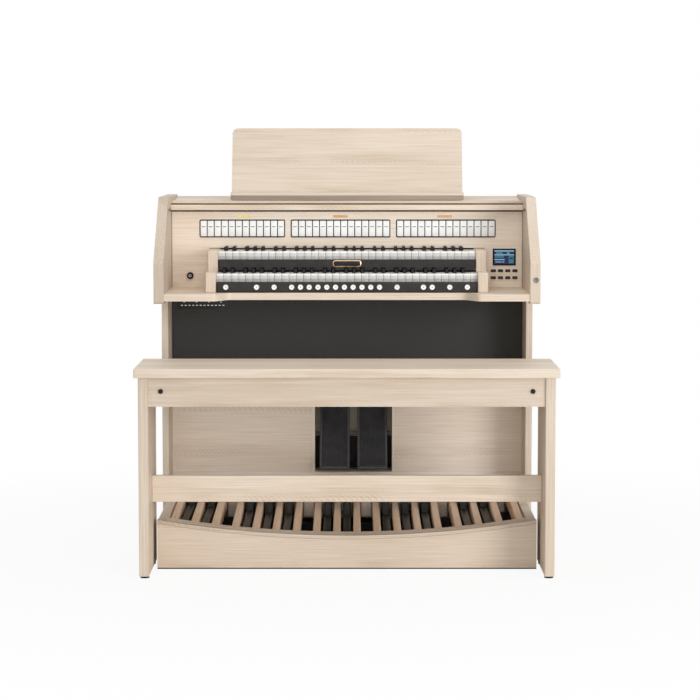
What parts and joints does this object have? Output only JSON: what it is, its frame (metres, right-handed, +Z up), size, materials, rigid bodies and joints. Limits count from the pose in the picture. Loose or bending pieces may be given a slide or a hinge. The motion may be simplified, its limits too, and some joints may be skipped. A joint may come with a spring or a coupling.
{
  "type": "electronic organ",
  "caption": "Two-manual electronic organ console in pale ash with stop tabs, roll-top, music desk, swell pedals, concave pedalboard and matching bench.",
  "frame": {"origin": "centre of the bounding box in plan, on the floor", "axes": "+X to the player's right, +Y away from the player to the console's back, +Z up"},
  "size_m": [1.3, 1.048, 1.384],
  "materials": {
    "ash_laminate": "pale ash laminate, satin",
    "ash_inner_board": "same laminate on the inner and rear boards",
    "pedal_wood": "darker hardwood, satin lacquer",
    "white_key_plastic": "white key plastic, semi-gloss",
    "tab_plastic": "ivory white moulded plastic",
    "black_key_plastic": "black moulded plastic, satin",
    "black_rail": "dark grey satin rail and moulding",
    "pedal_cap": "black stained hardwood",
    "grille_cloth": "black acoustic cloth on its board",
    "pedal_rubber": "ribbed black rubber tread on its plate",
    "steel": "bright plated steel"
  },
  "bodies": {
    "console": {"left_cheek": "ash_laminate", "right_cheek": "ash_laminate", "left_case_side": "ash_laminate", "right_case_side": "ash_laminate", "case_back": "ash_inner_board", "roof_board": "ash_laminate", "stop_fascia": "ash_laminate", "keybed": "ash_laminate", "left_key_block": "ash_laminate", "right_key_block": "ash_laminate", "lower_keyslip": "black_rail", "upper_keyslip": "black_rail", "lower_keyset": "white_key_plastic", "upper_keyset": "white_key_plastic", "left_tab_bank": "black_key_plastic", "centre_tab_bank": "black_key_plastic", "right_tab_bank": "black_key_plastic", "control_panel": "black_key_plastic", "speaker_grille": "grille_cloth", "speaker_baffle": "black_rail", "left_speaker": "black_rail", "right_speaker": "black_rail", "knee_panel": "ash_laminate", "toe_board": "ash_inner_board", "jack_panel": "black_rail", "sound_module": "steel", "mains_inlet": "black_key_plastic", "expression_box": "black_rail", "expression_shaft": "steel"},
    "roll_top": {"roll_top": "ash_laminate"},
    "music_desk": {"desk_board": "ash_laminate", "desk_ledge": "ash_laminate"},
    "pedalboard": {"kick_board": "ash_laminate", "heel_rail": "ash_laminate", "left_pedalboard_side": "ash_laminate", "right_pedalboard_side": "ash_laminate", "pedal_set": "pedal_wood", "pedal_stop_rail": "pedal_cap"},
    "bench": {"bench_seat": "ash_laminate", "left_bench_leg": "ash_laminate", "right_bench_leg": "ash_laminate", "bench_apron": "ash_laminate", "bench_stretcher": "ash_laminate", "left_bench_bolt": "steel", "right_bench_bolt": "steel"},
    "power_button": {"power_button": "black_key_plastic"},
    "lock_cylinder": {"lock_cylinder": "steel"},
    "menu_button": {"menu_button": "black_key_plastic"},
    "thumb_piston": {"thumb_piston": "tab_plastic"},
    "lower_natural_key": {"lower_natural_key": "white_key_plastic"},
    "lower_sharp_key": {"lower_sharp_key": "black_key_plastic"},
    "upper_natural_key": {"upper_natural_key": "white_key_plastic"},
    "upper_sharp_key": {"upper_sharp_key": "black_key_plastic"},
    "left_stop_tab": {"left_stop_tab": "tab_plastic"},
    "centre_stop_tab": {"centre_stop_tab": "tab_plastic"},
    "right_stop_tab": {"right_stop_tab": "tab_plastic"},
    "left_swell_pedal": {"left_swell_pedal": "pedal_rubber"},
    "right_swell_pedal": {"right_swell_pedal": "pedal_rubber"},
    "low_c_pedal": {"low_c_pedal": "pedal_wood"},
    "low_c_sharp_pedal": {"low_c_sharp_pedal": "pedal_cap"}
  },
  "joints": [
    {"name": "bench_slide", "type": "slide", "parent": "console", "child": "bench", "axis": [0, 1, 0], "range_m": [-0.3, 0.3]},
    {"name": "pedalboard_slide", "type": "slide", "parent": "console", "child": "pedalboard", "axis": [0, -1, 0], "range_m": [0, 0.25]},
    {"name": "music_desk_lift", "type": "slide", "parent": "console", "child": "music_desk", "axis": [0, 0, 1], "range_m": [0, 0.1]},
    {"name": "roll_top_slide", "type": "slide", "parent": "console", "child": "roll_top", "axis": [0, -1, 0], "range_m": [0, 0.1]},
    {"name": "left_swell_hinge", "type": "hinge", "parent": "console", "child": "left_swell_pedal", "pos_m": [-0.04235, 0.39248, 0.34191], "axis": [-1, 0, 0], "range_deg": [0, 20]},
    {"name": "right_swell_hinge", "type": "hinge", "parent": "console", "child": "right_swell_pedal", "pos_m": [0.08575, 0.39248, 0.34191], "axis": [-1, 0, 0], "range_deg": [0, 20]},
    {"name": "power_press", "type": "slide", "parent": "console", "child": "power_button", "axis": [0, 1, 0], "range_m": [0, 0.003], "stiffness_N_per_m": 400, "springref_m": -0.002},
    {"name": "menu_press", "type": "slide", "parent": "console", "child": "menu_button", "axis": [0, 1, 0], "range_m": [0, 0.0015], "stiffness_N_per_m": 400, "springref_m": -0.002},
    {"name": "piston_press", "type": "slide", "parent": "console", "child": "thumb_piston", "axis": [0, 1, 0], "range_m": [0, 0.0025], "stiffness_N_per_m": 300, "springref_m": -0.002},
    {"name": "lock_turn", "type": "hinge", "parent": "console", "child": "lock_cylinder", "pos_m": [0.605, -0.126, 0.898], "axis": [0, 1, 0], "range_deg": [0, 90]},
    {"name": "lower_natural_press", "type": "hinge", "parent": "console", "child": "lower_natural_key", "pos_m": [-0.08225, 0.1917, 0.887], "axis": [1, 0, 0], "range_deg": [0, 2.6], "stiffness_Nm_per_rad": 2, "springref_deg": -6.88},
    {"name": "lower_sharp_press", "type": "hinge", "parent": "console", "child": "lower_sharp_key", "pos_m": [-0.003, 0.1917, 0.887], "axis": [1, 0, 0], "range_deg": [0, 2.6], "stiffness_Nm_per_rad": 1, "springref_deg": -5.73},
    {"name": "upper_natural_press", "type": "hinge", "parent": "console", "child": "upper_natural_key", "pos_m": [-0.08225, 0.3067, 0.954], "axis": [1, 0, 0], "range_deg": [0, 2.6], "stiffness_Nm_per_rad": 2, "springref_deg": -6.88},
    {"name": "upper_sharp_press", "type": "hinge", "parent": "console", "child": "upper_sharp_key", "pos_m": [-0.003, 0.3067, 0.954], "axis": [1, 0, 0], "range_deg": [0, 2.6], "stiffness_Nm_per_rad": 1, "springref_deg": -5.73},
    {"name": "left_tab_rock", "type": "hinge", "parent": "console", "child": "left_stop_tab", "pos_m": [-0.38555, 0.24, 1.076], "axis": [1, 0, 0], "range_deg": [0, 5], "stiffness_Nm_per_rad": 0.05, "springref_deg": -2.86},
    {"name": "centre_tab_rock", "type": "hinge", "parent": "console", "child": "centre_stop_tab", "pos_m": [-0.03355, 0.24, 1.076], "axis": [1, 0, 0], "range_deg": [0, 5], "stiffness_Nm_per_rad": 0.05, "springref_deg": -2.86},
    {"name": "right_tab_rock", "type": "hinge", "parent": "console", "child": "right_stop_tab", "pos_m": [0.38895, 0.24, 1.076], "axis": [1, 0, 0], "range_deg": [0, 5], "stiffness_Nm_per_rad": 0.05, "springref_deg": -2.86},
    {"name": "low_c_press", "type": "hinge", "parent": "pedalboard", "child": "low_c_pedal", "pos_m": [-0.5525, -0.2207, 0.09685], "axis": [-1, 0, 0], "range_deg": [0, 1.3], "stiffness_Nm_per_rad": 30, "springref_deg": -3.44},
    {"name": "low_c_sharp_press", "type": "hinge", "parent": "pedalboard", "child": "low_c_sharp_pedal", "pos_m": [-0.52, -0.2207, 0.09193], "axis": [-1, 0, 0], "range_deg": [0, 1.3], "stiffness_Nm_per_rad": 30, "springref_deg": -3.44}
  ]
}
